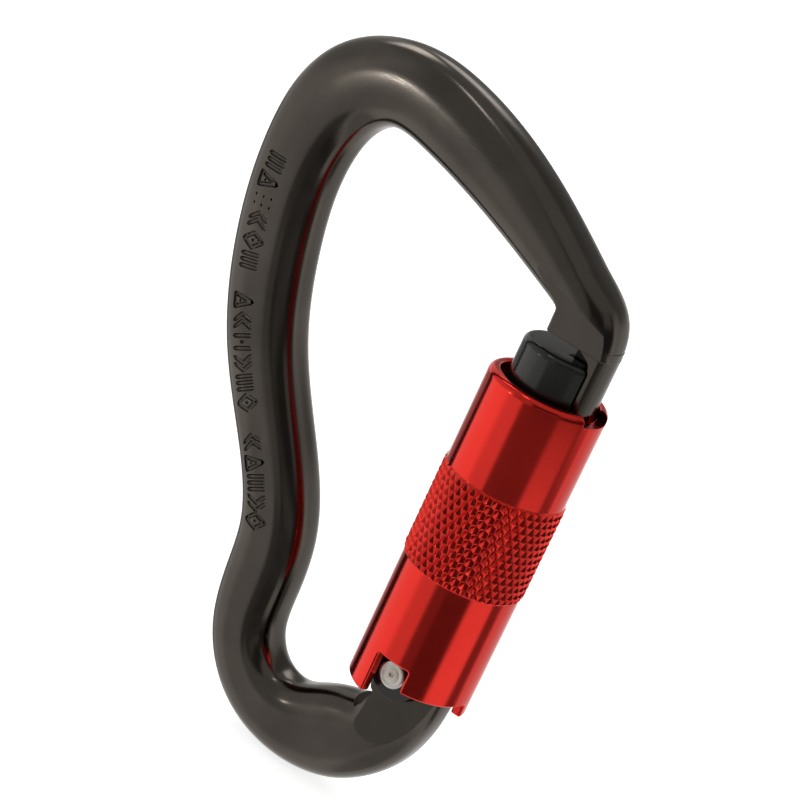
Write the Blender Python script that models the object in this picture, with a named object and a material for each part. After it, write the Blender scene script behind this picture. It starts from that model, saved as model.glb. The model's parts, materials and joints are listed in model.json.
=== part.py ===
"""Twist-lock carabiner: forged frame, hinged gate and a spring-returned locking sleeve.

X runs from the spine to the gate, Y through the flat thickness (front is -Y) and Z along the gate axis.
All pieces of the gate side are drawn about the hinge rivet, whose axis runs along Y.
"""

import math

import bmesh
import bpy
import numpy as np
from mathutils import Matrix, Vector

MM = 0.001

# Where the hinge axis stands, so that the middle of the whole object's box is the origin (mm).
HINGE_X = 24.13
HINGE_Z = -27.29

# Frame: (x, z, half width) down its centre, from the hinge round the spine to the nose (mm).
CENTRE_LINE = (
    (0.9, -0.4, 6.1),
    (0.85, -5.6, 5.85),
    (-0.8, -11.35, 5.7),
    (-6.8, -16.05, 6.85),
    (-14.6, -18.9, 6.0),
    (-22.4, -17.4, 5.3),
    (-27.6, -11.5, 5.3),
    (-29.0, -3.0, 5.7),
    (-29.9, 4.6, 5.7),
    (-36.4, 16.8, 5.6),
    (-44.2, 28.2, 6.0),
    (-49.8, 44.0, 6.4),
    (-51.0, 57.0, 6.6),
    (-47.2, 68.8, 6.9),
    (-39.5, 73.0, 6.2),
    (-31.3, 72.5, 6.1),
    (-14.8, 67.1, 5.3),
    (-1.5, 60.65, 3.8),
)
# Nose: the bar's section fans round its inner corner, as inner (x, z) then outer (x, z) (mm).
NOSE_FAN = (
    (-3.4, 56.9, 2.7, 62.6),
    (-3.52, 56.3, 4.55, 61.1),
    (-3.58, 55.7, 5.9, 59.3),
    (-3.6, 55.2, 6.7, 57.2),
    (-3.6, 54.3, 7.15, 54.3),
)
# Flats on both faces of each end: (x, z) where they start, the way along, half thickness there, its rise
# along and across, and how far along they end in a steep step.
HINGE_FLAT = (0.0, -3.5, -0.12, -0.993, 3.45, 0.17, 0.0, 9.5)
NOSE_FLAT = (6.0, 54.0, 0.3, 0.954, 3.15, 0.102, 0.082, 3.4)
FLAT_BACK = 14
FLAT_ACROSS = (-18, 30)
SMOOTH_DEG = 32.0
HALF_THICK = 4.9
# Far enough to either side to cut through everything.
CLEAR_Y = 9.0
STATIONS = 62
SECTION_POINTS = 20
SECTION_POWER = 2.6

# Hinge: the frame ends in a tab between the two ears of the gate.
TAB_HALF = 2.5
TAB_CAM_X = 3.6
TAB_CAM_Z = 2.6
TAB_CHAMFER = 0.4
TAB_ROUND_R = 4.0
TAB_ROOT = ((-2.6, -6.0), (2.0, -8.0), (5.8, -5.0), (5.8, -2.4))
EAR_INNER = 2.8
EAR_OUTER = 5.7
EAR_R = 4.1
EAR_POCKET_R = 4.45
EAR_POCKET_AT = 2.6
EAR_NECK_TOP = 1.8
SEAT_R = 7.15
SEAT_Z = -4.5
SEAT_TOP = 12.0
SHOULDER_Z = -1.25
RIVET_R = 1.5
RIVET_HOLE_R = 1.8
RIVET_HEAD_R = 2.14
RIVET_HEAD_FROM = 6.0
RIVET_HEAD_TO = 7.05
SWEEP_R = 10.4
SWEEP_CORE_R = 6.3
SWEEP_FROM_DEG = 180.0
SWEEP_GATE_DEG = 197.0
SWEEP_TO_DEG = 244.0

# Gate
GATE_TOP = 52.5
GATE_R = 6.35
NECK_R = 5.6
SHANK_R = 7.15
SHANK_TOP = 12.0
NECK_TOP = 41.3
SLOT_TOP = 5.0
BORE_R = 2.9
BORE_TOP = 26.3

# Nose: a hook that drops into the gate's keyhole. Its outer wall reaches down inside the sleeve's rim.
LIP_HALF = 3.1
WEB_HALF = 1.3
FOOT_HALF = 2.9
LIP_IN = 1.8
LIP_WALL_IN = 5.1
LIP_WALL_OUT = 7.6
LIP_WALL_Z = 45.9
LIP_WALL_TOP = 55.6
LIP_ROOT = ((2.6, LIP_WALL_TOP), (3.0, 54.2), (4.0, 53.6), (4.8, 52.8), (LIP_WALL_IN, 52.0))
LIP_WEB_OUT = 6.0
LIP_WEB_TOP = 55.4
LIP_FOOT_Z = 47.0
LIP_FOOT_TOP = 49.3
LIP_R = 7.12
KEY_GAP = 0.35
KEY_WALL_FLOOR = 45.4
KEY_FOOT_FLOOR = 46.5

# Sleeve
SLEEVE_R = 9.0
SLEEVE_BORE = 7.5
SLEEVE_TOP = 46.65
EDGE_SHORT = -0.9
EDGE_LONG_FRONT = -4.1
EDGE_LONG_BACK = -3.1
NOTCH_TOP = 2.6
NOTCH_FROM_DEG = 71.0
NOTCH_TO_DEG = 107.0
KNURL_FROM = 16.5
KNURL_TO = 31.6
KNURL_R = 9.3
STEP_FROM = 40.6
STEP_TO = 42.2
STEP_R = 6.75
RING_GROOVE_FROM = 32.3
RING_GROOVE_TO = 33.9
RING_GROOVE_R = 8.05
# Release notch in the rim: it stands at the nose, and a quarter turn of the sleeve closes the rim there.
RELEASE_HALF = 3.4
RELEASE_FLOOR = 45.2
SEGMENTS = 48

# Split guide bush, its window and the pin that runs in it
BUSH_FROM = 34.3
BUSH_TO = 40.25
BUSH_IN = 5.92
BUSH_OUT = 7.18
WINDOW_FROM = 36.0
WINDOW_TO = 38.2
WINDOW_DEG = 112.0
# The pin points to the back; the window lets the sleeve turn a quarter from rest.
PIN_DEG = -90.0
WINDOW_START_DEG = PIN_DEG - 101.0
PIN_Z = 37.1
PIN_R = 0.7
PIN_HOLE_R = 1.0
PIN_IN = 2.4
PIN_OUT = 6.9
SPLIT_DEG = 14.0

# Springs and plunger
COIL_R = 2.05
COIL_WIRE = 0.28
COIL_FROM = 6.2
COIL_TO = 25.9
COIL_TURNS = 9
TWIST_R = 6.5
TWIST_WIRE = 0.38
TWIST_FROM = 12.8
TWIST_TO = 31.4
TWIST_TURNS = 8
PLUNGER_R = 2.5
PLUNGER_FROM = 2.95
PLUNGER_HEAD_TO = 5.6
PLUNGER_STEM_R = 1.2
PLUNGER_TO = 11.5
SNAP_R = 7.4
SNAP_WIRE = 0.36
SNAP_OPEN_DEG = 40.0


def material(name, colour, metallic, roughness):
    made = bpy.data.materials.new(name)
    made.use_nodes = True
    shader = made.node_tree.nodes["Principled BSDF"]
    shader.inputs["Base Color"].default_value = (*colour, 1.0)
    shader.inputs["Metallic"].default_value = metallic
    shader.inputs["Roughness"].default_value = roughness
    return made


def mesh_object(name, points, faces):
    """A mesh about the hinge axis, from points in mm."""
    data = bpy.data.meshes.new(name)
    data.from_pydata([Vector(q) * MM for q in points], [], faces)
    shape = bmesh.new()
    shape.from_mesh(data)
    bmesh.ops.recalc_face_normals(shape, faces=shape.faces)
    if shape.calc_volume(signed=True) < 0:
        bmesh.ops.reverse_faces(shape, faces=shape.faces)
    shape.to_mesh(data)
    shape.free()
    made = bpy.data.objects.new(name, data)
    bpy.context.scene.collection.objects.link(made)
    return made


def lathe(name, outline, segments=SEGMENTS):
    """A body turned about Z from a closed outline of (radius, z)."""
    points = []
    faces = []
    count = len(outline)
    for i in range(segments):
        turn = 2 * math.pi * i / segments
        for r, z in outline:
            points.append((r * math.cos(turn), r * math.sin(turn), z))
    for i in range(segments):
        for k in range(count):
            a = i * count + k
            b = i * count + (k + 1) % count
            c = ((i + 1) % segments) * count + (k + 1) % count
            e = ((i + 1) % segments) * count + k
            faces.append((a, b, c, e))
    made = mesh_object(name, points, faces)
    weld(made)
    return made


def weld(target):
    shape = bmesh.new()
    shape.from_mesh(target.data)
    bmesh.ops.remove_doubles(shape, verts=shape.verts, dist=1e-6)
    bmesh.ops.dissolve_degenerate(shape, edges=shape.edges, dist=1e-7)
    bmesh.ops.recalc_face_normals(shape, faces=shape.faces)
    shape.to_mesh(target.data)
    shape.free()


def rod(name, radius, start, end, axis="Z", segments=32):
    """A solid cylinder along an axis through the hinge point."""
    turned = []
    for z in (start, end):
        for i in range(segments):
            turn = 2 * math.pi * i / segments
            a = radius * math.cos(turn)
            b = radius * math.sin(turn)
            turned.append({"Z": (a, b, z), "Y": (a, z, b), "X": (z, a, b)}[axis])
    faces = [tuple(range(segments)), tuple(range(segments, 2 * segments))]
    for i in range(segments):
        j = (i + 1) % segments
        faces.append((i, j, segments + j, segments + i))
    return mesh_object(name, turned, faces)


def plate(name, outline, y_from, y_to):
    """An outline of (x, z) pulled along Y."""
    count = len(outline)
    points = [(x, y_from, z) for x, z in outline] + [(x, y_to, z) for x, z in outline]
    faces = [tuple(range(count)), tuple(range(count, 2 * count))]
    for i in range(count):
        j = (i + 1) % count
        faces.append((i, j, count + j, count + i))
    return mesh_object(name, points, faces)


def block(name, low, high):
    outline = ((low[0], low[2]), (high[0], low[2]), (high[0], high[2]), (low[0], high[2]))
    return plate(name, outline, low[1], high[1])


def wedge(name, r_in, r_out, from_deg, to_deg, low, high, steps=12):
    """A ring sector about Z, with angles from +X towards -Y."""
    outline = []
    for i in range(steps + 1):
        turn = math.radians(from_deg + (to_deg - from_deg) * i / steps)
        outline.append((r_out * math.cos(turn), -r_out * math.sin(turn)))
    for i in range(steps, -1, -1):
        turn = math.radians(from_deg + (to_deg - from_deg) * i / steps)
        outline.append((r_in * math.cos(turn), -r_in * math.sin(turn)))
    count = len(outline)
    points = [(x, y, low) for x, y in outline] + [(x, y, high) for x, y in outline]
    faces = [tuple(range(count)), tuple(range(count, 2 * count))]
    for i in range(count):
        j = (i + 1) % count
        faces.append((i, j, count + j, count + i))
    return mesh_object(name, points, faces)


def combine(target, tool, operation):
    """Joins, cuts or intersects, and removes the tool."""
    step = target.modifiers.new("step", "BOOLEAN")
    step.operation = operation
    step.solver = "EXACT"
    step.object = tool
    bpy.context.view_layer.update()
    graph = bpy.context.evaluated_depsgraph_get()
    result = bpy.data.meshes.new_from_object(target.evaluated_get(graph))
    target.modifiers.remove(step)
    old = target.data
    target.data = result
    bpy.data.meshes.remove(old)
    bpy.data.objects.remove(tool)
    weld(target)
    return target


def coil(name, radius, wire, start, end, turns, per_turn=14, sides=6, flat_turns=0.9):
    """A helix with closed end turns."""
    count = int((turns + 2 * flat_turns) * per_turn)
    points = []
    for i in range(count + 1):
        share = i / per_turn
        turn = 2 * math.pi * share
        low = start + wire + (2.3 * wire) * min(share, flat_turns) / flat_turns
        rise = (end - start - 2 * wire - 4.6 * wire) * min(max(share - flat_turns, 0), turns) / turns
        past = max(share - flat_turns - turns, 0) / flat_turns
        centre = Vector((radius * math.cos(turn), radius * math.sin(turn), low + rise + 2.3 * wire * past))
        out = Vector((math.cos(turn), math.sin(turn), 0))
        for k in range(sides):
            a = 2 * math.pi * k / sides
            points.append(centre + out * wire * math.cos(a) + Vector((0, 0, wire * math.sin(a))))
    faces = [tuple(range(sides)), tuple(range(count * sides, (count + 1) * sides))]
    for i in range(count):
        for k in range(sides):
            j = (k + 1) % sides
            faces.append((i * sides + k, i * sides + j, (i + 1) * sides + j, (i + 1) * sides + k))
    return mesh_object(name, points, faces)


def section(middle, reach):
    """One rounded-square ring of the bar about a middle (x, z), with its half width as a vector."""
    ring = []
    for k in range(SECTION_POINTS):
        turn = 2 * math.pi * (k + 0.5) / SECTION_POINTS
        c = math.copysign(abs(math.cos(turn)) ** (2 / SECTION_POWER), math.cos(turn))
        e = math.copysign(abs(math.sin(turn)) ** (2 / SECTION_POWER), math.sin(turn))
        x, z = middle + reach * c
        ring.append((x, HALF_THICK * e, z))
    return ring


def flat_cutter(name, spec, side):
    """A block whose inner face is the sloping flat at one end of the frame, with its end step."""
    x, z, way_x, way_z, half, rise, rise_across, run = spec
    points = []
    back = -FLAT_BACK
    for over in FLAT_ACROSS:
        for along, level, out in ((back, back, 0), (run, run, 0), (run + 3, run, 6), (back, back, 8)):
            y = half + rise * level + rise_across * over + out
            points.append((x + way_x * along - way_z * over, side * y, z + way_z * along + way_x * over))
    faces = [(0, 1, 2, 3), (4, 5, 6, 7), (0, 1, 5, 4), (1, 2, 6, 5), (2, 3, 7, 6), (3, 0, 4, 7)]
    return mesh_object(name, points, faces)


def frame_sweep():
    """The bent bar, with a rounded-square section that follows the centre line."""
    knots = np.array(CENTRE_LINE)
    reach = np.r_[0, np.cumsum(np.hypot(*np.diff(knots[:, :2], axis=0).T))]
    count = len(knots)
    # second derivatives of a natural cubic spline through the knots
    gap = np.diff(reach)
    system = np.eye(count)
    right = np.zeros((count, 3))
    for i in range(1, count - 1):
        system[i, i - 1 : i + 2] = gap[i - 1], 2 * (gap[i - 1] + gap[i]), gap[i]
        right[i] = 6 * ((knots[i + 1] - knots[i]) / gap[i] - (knots[i] - knots[i - 1]) / gap[i - 1])
    bend = np.linalg.solve(system, right)
    rings = []
    for s in np.linspace(0, reach[-1], STATIONS):
        i = min(int(np.searchsorted(reach, s, side="right")) - 1, count - 2)
        h = gap[i]
        a = (reach[i + 1] - s) / h
        b = (s - reach[i]) / h
        at = a * knots[i] + b * knots[i + 1]
        at = at + ((a**3 - a) * bend[i] + (b**3 - b) * bend[i + 1]) * h * h / 6
        way = (knots[i + 1] - knots[i]) / h
        way = way - (3 * a * a - 1) / 6 * h * bend[i] + (3 * b * b - 1) / 6 * h * bend[i + 1]
        along = way[:2] / np.hypot(*way[:2])
        side = np.array((along[1], -along[0]))
        rings.append(section(at[:2], side * at[2]))
    for x_in, z_in, x_out, z_out in NOSE_FAN:
        middle = np.array(((x_in + x_out) / 2, (z_in + z_out) / 2))
        rings.append(section(middle, np.array((x_in, z_in)) - middle))
    points = [q for ring in rings for q in ring]
    n = SECTION_POINTS
    count = len(rings)
    faces = [tuple(range(n)), tuple(range((count - 1) * n, count * n))]
    for i in range(count - 1):
        for k in range(n):
            j = (k + 1) % n
            faces.append((i * n + k, i * n + j, (i + 1) * n + j, (i + 1) * n + k))
    return mesh_object("frame", points, faces)


def arc(cx, cz, r, from_deg, to_deg, steps):
    return [
        (cx + r * math.cos(math.radians(a)), cz + r * math.sin(math.radians(a)))
        for a in np.linspace(from_deg, to_deg, steps)
    ]


def build_frame():
    frame = frame_sweep()
    # everything above the shoulder goes, and the seat below it is turned to fit inside the sleeve
    combine(frame, block("above", (-16, -CLEAR_Y, SHOULDER_Z), (16, CLEAR_Y, SEAT_TOP)), "DIFFERENCE")
    seat = lathe("seat", ((SEAT_R, SEAT_Z), (20, SEAT_Z), (20, SEAT_TOP), (SEAT_R, SEAT_TOP)))
    combine(seat, block("keep", (-13, -12, -6), (14, 12, 14)), "INTERSECT")
    combine(frame, seat, "DIFFERENCE")
    # room for the sleeve's edge as the gate swings in, and inside that only for the gate's own corner
    sweep = arc(0, 0, SWEEP_R, SWEEP_FROM_DEG, SWEEP_TO_DEG, 14)
    sweep += arc(0, 0, SWEEP_CORE_R, SWEEP_TO_DEG, SWEEP_GATE_DEG, 6) + [(0.0, 0.0)]
    combine(frame, plate("sleeve_path", sweep, -CLEAR_Y, CLEAR_Y), "DIFFERENCE")
    for y in (-CLEAR_Y, EAR_POCKET_AT):
        pocket = rod("ear_pocket", EAR_POCKET_R, y, y + CLEAR_Y - EAR_POCKET_AT, "Y", 40)
        combine(frame, pocket, "DIFFERENCE")
    tab = [(TAB_CAM_X, TAB_CAM_Z - TAB_CHAMFER), (TAB_CAM_X - TAB_CHAMFER, TAB_CAM_Z)]
    tab += [(-TAB_CAM_X + TAB_CHAMFER, TAB_CAM_Z), (-TAB_CAM_X, TAB_CAM_Z - TAB_CHAMFER)]
    tab += arc(0, 0, TAB_ROUND_R, 172, 216, 6)
    tab += TAB_ROOT
    tab += arc(0, 0, TAB_ROUND_R, -24, 8, 5)
    combine(frame, plate("tab", tab, -TAB_HALF, TAB_HALF), "UNION")
    combine(frame, rod("rivet_hole", RIVET_HOLE_R, -CLEAR_Y, CLEAR_Y, "Y", 28), "DIFFERENCE")
    for side in (-1, 1):
        combine(frame, flat_cutter("hinge_flat", HINGE_FLAT, side), "DIFFERENCE")
        combine(frame, flat_cutter("nose_flat", NOSE_FLAT, side), "DIFFERENCE")
    # the hook that hangs from the nose: an outer wall, a web and a wider foot
    wall = [(LIP_WALL_IN, LIP_WALL_Z), (LIP_WALL_OUT, LIP_WALL_Z), (LIP_WALL_OUT, LIP_WALL_TOP)]
    wall += LIP_ROOT
    lip = plate("lip", wall, -LIP_HALF, LIP_HALF)
    web = block("web", (LIP_IN, -WEB_HALF, LIP_FOOT_Z), (LIP_WEB_OUT, WEB_HALF, LIP_WEB_TOP))
    combine(lip, web, "UNION")
    foot = block("foot", (LIP_IN, -FOOT_HALF, LIP_FOOT_Z), (LIP_WEB_OUT, FOOT_HALF, LIP_FOOT_TOP))
    combine(lip, foot, "UNION")
    combine(lip, rod("lip_round", LIP_R, 40, 57, "Z", SEGMENTS), "INTERSECT")
    combine(frame, lip, "UNION")
    return frame


def build_gate():
    outline = [
        (0, -5),
        (SHANK_R, -5),
        (SHANK_R, SHANK_TOP - 0.4),
        (SHANK_R - 0.4, SHANK_TOP),
        (NECK_R, SHANK_TOP),
        (NECK_R, NECK_TOP),
        (GATE_R, NECK_TOP),
        (GATE_R, GATE_TOP - 1.0),
        (GATE_R - 0.3, GATE_TOP - 0.3),
        (GATE_R - 1.0, GATE_TOP),
        (0, GATE_TOP),
    ]
    gate = lathe("gate_arm", outline)
    # flats on the ears, the slot for the tab and the round ends
    for y in (EAR_OUTER, -EAR_OUTER - 5):
        combine(gate, block("flat", (-10, y, -6), (10, y + 5, 9.0)), "DIFFERENCE")
    combine(gate, block("slot", (-10, -EAR_INNER, -6), (10, EAR_INNER, SLOT_TOP)), "DIFFERENCE")
    below = [(-9, EAR_NECK_TOP), (-EAR_R, EAR_NECK_TOP)] + arc(0, 0, EAR_R, 180, 360, 24)
    below += [(EAR_R, EAR_NECK_TOP), (9, EAR_NECK_TOP), (9, -7), (-9, -7)]
    combine(gate, plate("round_end", below, -9, 9), "DIFFERENCE")
    combine(gate, rod("rivet_hole", RIVET_HOLE_R, -9, 9, "Y", 28), "DIFFERENCE")
    combine(gate, rod("spring_bore", BORE_R, -6, BORE_TOP, "Z", 28), "DIFFERENCE")
    # keyhole for the nose
    key_in = LIP_IN - KEY_GAP
    web = WEB_HALF + KEY_GAP
    wide = FOOT_HALF + KEY_GAP
    side = LIP_HALF + KEY_GAP
    key = block("key", (key_in, -web, KEY_FOOT_FLOOR + 0.1), (6.0, web, 56))
    foot = block("key_foot", (key_in, -wide, KEY_FOOT_FLOOR), (6.0, wide, LIP_FOOT_TOP + KEY_GAP))
    combine(key, foot, "UNION")
    combine(key, block("key_wall", (LIP_WALL_IN - KEY_GAP, -side, KEY_WALL_FLOOR), (9, side, 56)), "UNION")
    combine(gate, key, "DIFFERENCE")
    pin_hole = rod("pin_hole", PIN_HOLE_R, PIN_IN - 0.4, 8, "X", 20)
    pin_hole.data.transform(turn_about_z(PIN_DEG) @ lift(PIN_Z))
    combine(gate, pin_hole, "DIFFERENCE")
    return gate


def turn_about_z(degrees):
    return Matrix.Rotation(-math.radians(degrees), 4, "Z")


def lift(z):
    return Matrix.Translation((0, 0, z * MM))


def build_sleeve():
    outline = [
        (SLEEVE_BORE, -6.0),
        (SLEEVE_R, -6.0),
        (SLEEVE_R, KNURL_FROM),
        (KNURL_R, KNURL_FROM + 0.4),
        (KNURL_R, KNURL_TO - 0.4),
        (SLEEVE_R, KNURL_TO),
        (SLEEVE_R, SLEEVE_TOP - 0.9),
        (SLEEVE_R - 0.3, SLEEVE_TOP - 0.3),
        (SLEEVE_R - 0.9, SLEEVE_TOP),
        (SLEEVE_BORE, SLEEVE_TOP),
        (SLEEVE_BORE, STEP_TO),
        (STEP_R, STEP_TO),
        (STEP_R, STEP_FROM),
        (SLEEVE_BORE, STEP_FROM),
        (SLEEVE_BORE, RING_GROOVE_TO),
        (RING_GROOVE_R, RING_GROOVE_TO),
        (RING_GROOVE_R, RING_GROOVE_FROM),
        (SLEEVE_BORE, RING_GROOVE_FROM),
    ]
    sleeve = lathe("locking_sleeve", outline)
    for half, edge_long in ((0, EDGE_LONG_FRONT), (180, EDGE_LONG_BACK)):
        start = NOTCH_FROM_DEG + half
        end = NOTCH_TO_DEG + half
        combine(sleeve, wedge("notch", 6, 11, start, end, -8, NOTCH_TOP, 8), "DIFFERENCE")
        combine(sleeve, wedge("short", 6, 11, start - 75, start + 1, -8, EDGE_SHORT, 14), "DIFFERENCE")
        combine(sleeve, wedge("long", 6, 11, end - 1, end + 73, -8, edge_long, 14), "DIFFERENCE")
    combine(sleeve, block("release", (4, -RELEASE_HALF, RELEASE_FLOOR), (11, RELEASE_HALF, 50)), "DIFFERENCE")
    return sleeve


def build_bush():
    outline = ((BUSH_IN, BUSH_FROM), (BUSH_OUT, BUSH_FROM), (BUSH_OUT, BUSH_TO), (BUSH_IN, BUSH_TO))
    bush = lathe("guide_bush", outline)
    window_end = WINDOW_START_DEG + WINDOW_DEG
    window = wedge("window", 5, 9, WINDOW_START_DEG, window_end, WINDOW_FROM, WINDOW_TO, 14)
    combine(bush, window, "DIFFERENCE")
    middle = WINDOW_START_DEG + WINDOW_DEG / 2 + 180
    split = wedge("split", 5, 9, middle - SPLIT_DEG / 2, middle + SPLIT_DEG / 2, 33, 42, 3)
    combine(bush, split, "DIFFERENCE")
    return bush


def build_snap_ring():
    points = []
    sides = 8
    count = 40
    for i in range(count + 1):
        turn = math.radians(SNAP_OPEN_DEG / 2 + (360 - SNAP_OPEN_DEG) * i / count)
        z = (RING_GROOVE_FROM + RING_GROOVE_TO) / 2
        for k in range(sides):
            a = 2 * math.pi * k / sides
            r = SNAP_R + SNAP_WIRE * math.cos(a)
            points.append((r * math.cos(turn), r * math.sin(turn), z + SNAP_WIRE * math.sin(a)))
    faces = [tuple(range(sides)), tuple(range(count * sides, (count + 1) * sides))]
    for i in range(count):
        for k in range(sides):
            j = (k + 1) % sides
            faces.append((i * sides + k, i * sides + j, (i + 1) * sides + j, (i + 1) * sides + k))
    return mesh_object("snap_ring", points, faces)


def build_rivet():
    half = [
        (0.0, -RIVET_HEAD_TO),
        (RIVET_HEAD_R - 0.35, -RIVET_HEAD_TO),
        (RIVET_HEAD_R, -RIVET_HEAD_TO + 0.35),
        (RIVET_HEAD_R, -RIVET_HEAD_FROM),
        (RIVET_R, -RIVET_HEAD_FROM),
    ]
    outline = half + [(r, -y) for r, y in reversed(half)]
    rivet = lathe("hinge_rivet", outline, 28)
    rivet.data.transform(Matrix.Rotation(math.pi / 2, 4, "X"))
    return rivet


def build_plunger():
    outline = [
        (0, PLUNGER_FROM),
        (PLUNGER_R - 0.3, PLUNGER_FROM),
        (PLUNGER_R, PLUNGER_FROM + 0.3),
        (PLUNGER_R, PLUNGER_HEAD_TO),
        (PLUNGER_STEM_R, PLUNGER_HEAD_TO),
        (PLUNGER_STEM_R, PLUNGER_TO - 0.3),
        (PLUNGER_STEM_R - 0.3, PLUNGER_TO),
        (0, PLUNGER_TO),
    ]
    return lathe("closing_plunger", outline, 24)


def finish(made, look):
    made.data.materials.clear()
    made.data.materials.append(look)
    made.location = (HINGE_X * MM, 0, HINGE_Z * MM)
    shape = bmesh.new()
    shape.from_mesh(made.data)
    for face in shape.faces:
        face.smooth = True
    for edge in shape.edges:
        edge.smooth = len(edge.link_faces) == 2 and edge.calc_face_angle(0) < math.radians(SMOOTH_DEG)
    shape.to_mesh(made.data)
    shape.free()


def main():
    for old in list(bpy.data.objects):
        bpy.data.objects.remove(old)
    gunmetal = material("gunmetal_anodised", (0.07, 0.065, 0.06), 0.9, 0.3)
    black = material("black_anodised", (0.015, 0.015, 0.014), 0.8, 0.3)
    red = material("red_anodised", (0.65, 0.02, 0.02), 0.8, 0.3)
    steel = material("stainless_steel", (0.62, 0.6, 0.57), 1.0, 0.35)
    spring = material("spring_steel", (0.4, 0.4, 0.4), 1.0, 0.3)
    acetal = material("black_acetal", (0.03, 0.03, 0.03), 0.0, 0.5)
    finish(build_frame(), gunmetal)
    finish(build_gate(), black)
    finish(build_rivet(), steel)
    finish(build_plunger(), steel)
    finish(coil("closing_spring", COIL_R, COIL_WIRE, COIL_FROM, COIL_TO, COIL_TURNS), spring)
    finish(build_sleeve(), red)
    finish(coil("return_spring", TWIST_R, TWIST_WIRE, TWIST_FROM, TWIST_TO, TWIST_TURNS, 18), spring)
    finish(build_bush(), acetal)
    finish(build_snap_ring(), spring)
    pin = rod("guide_pin", PIN_R, PIN_IN, PIN_OUT, "X", 16)
    pin.data.transform(lift(PIN_Z) @ turn_about_z(PIN_DEG))
    finish(pin, steel)


main()
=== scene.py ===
"""Looks of the twist-lock carabiner: finer surfaces, finishes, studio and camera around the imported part.

Shapes are drawn in millimetres about the hinge axis, as the part's own are: X from the spine to the gate,
Y through the thickness with the front at -Y, Z along the gate. Angles round the sleeve run from +X
towards the front.
"""

import json
import math

import bmesh
import bpy
import numpy as np
from mathutils import Matrix, Vector


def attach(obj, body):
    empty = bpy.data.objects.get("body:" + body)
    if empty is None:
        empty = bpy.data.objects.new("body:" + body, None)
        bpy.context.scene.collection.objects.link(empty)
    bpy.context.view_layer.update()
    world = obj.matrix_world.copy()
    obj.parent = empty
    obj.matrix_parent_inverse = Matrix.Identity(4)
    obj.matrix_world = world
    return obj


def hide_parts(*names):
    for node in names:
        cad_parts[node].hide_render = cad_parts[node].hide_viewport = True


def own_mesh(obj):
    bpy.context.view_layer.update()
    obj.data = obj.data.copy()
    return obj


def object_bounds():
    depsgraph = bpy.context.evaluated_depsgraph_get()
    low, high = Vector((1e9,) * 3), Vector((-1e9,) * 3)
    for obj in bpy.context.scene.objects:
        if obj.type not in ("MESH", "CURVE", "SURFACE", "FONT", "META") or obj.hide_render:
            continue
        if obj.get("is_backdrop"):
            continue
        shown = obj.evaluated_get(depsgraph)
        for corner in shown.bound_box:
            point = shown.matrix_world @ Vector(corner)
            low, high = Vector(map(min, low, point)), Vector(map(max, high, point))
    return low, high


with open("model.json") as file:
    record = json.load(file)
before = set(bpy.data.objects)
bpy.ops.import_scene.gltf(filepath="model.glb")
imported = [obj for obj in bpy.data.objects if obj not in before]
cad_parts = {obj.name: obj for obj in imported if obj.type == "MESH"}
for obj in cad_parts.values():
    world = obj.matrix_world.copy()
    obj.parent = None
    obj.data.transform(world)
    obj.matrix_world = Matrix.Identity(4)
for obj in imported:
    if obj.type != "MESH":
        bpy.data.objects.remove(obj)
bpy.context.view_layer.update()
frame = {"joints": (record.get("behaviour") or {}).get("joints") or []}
HINGE = Vector(next(j for j in frame["joints"] if j["name"] == "gate_open")["pos_m"])
MM = 0.001

# The bar's centre line (x, z, half width), hinge to nose, and the fan of sections round the nose
# (inner x, z, outer x, z): the same as the solid's, but for 0.05 mm at the fan's last outer x.
CENTRE_LINE = (
    (0.9, -0.4, 6.1), (0.85, -5.6, 5.85), (-0.8, -11.35, 5.7), (-6.8, -16.05, 6.85),
    (-14.6, -18.9, 6.0), (-22.4, -17.4, 5.3), (-27.6, -11.5, 5.3), (-29.0, -3.0, 5.7),
    (-29.9, 4.6, 5.7), (-36.4, 16.8, 5.6), (-44.2, 28.2, 6.0), (-49.8, 44.0, 6.4),
    (-51.0, 57.0, 6.6), (-47.2, 68.8, 6.9), (-39.5, 73.0, 6.2), (-31.3, 72.5, 6.1),
    (-14.8, 67.1, 5.3), (-1.5, 60.65, 3.8),
)
NOSE_FAN = (
    (-3.4, 56.9, 2.7, 62.6), (-3.52, 56.3, 4.55, 61.1), (-3.58, 55.7, 5.9, 59.3),
    (-3.6, 55.2, 6.7, 57.2), (-3.6, 54.3, 7.1, 54.3),
)
HALF_THICK = 4.9
SECTION_POWER = 2.6
SECTION_POINTS = 96
STATION_STEP = 0.55
FAN_STATIONS = 34
MEAN_HALF_WIDTH = 5.9

# Each end's flat: (x, z) where it starts, the way along, half thickness there, its rise along and across,
# and how far along it ends in a steep step. The cutter reaches this far back and to either side.
HINGE_FLAT = (0.0, -3.5, -0.12, -0.993, 3.45, 0.17, 0.0, 9.5)
NOSE_FLAT = (6.0, 54.0, 0.3, 0.954, 3.15, 0.102, 0.082, 3.4)
FLAT_BACK, FLAT_ACROSS = 14, (-18, 30)

# Hinge end of the frame: shoulder and turned seat, the sleeve's path as the gate opens, ear pockets, tab.
CLEAR_Y = 9.0
SHOULDER_Z = -1.25
SEAT_R, SEAT_Z, SEAT_TOP = 7.15, -4.5, 12.0
SWEEP_R, SWEEP_CORE_R = 10.4, 6.3
SWEEP_FROM_DEG, SWEEP_GATE_DEG, SWEEP_TO_DEG = 180, 197, 244
EAR_POCKET_R, EAR_POCKET_AT, EAR_POCKET_DEEP = 4.45, 2.6, 6.4
TAB_HALF, TAB_CAM_X, TAB_CAM_Z, TAB_CHAMFER, TAB_ROUND_R = 2.5, 3.6, 2.6, 0.4, 4.0
TAB_ROOT = [(-2.6, -6.0), (2.0, -8.0), (5.8, -5.0), (5.8, -2.4)]
RIVET_HOLE_R = 1.8

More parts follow.
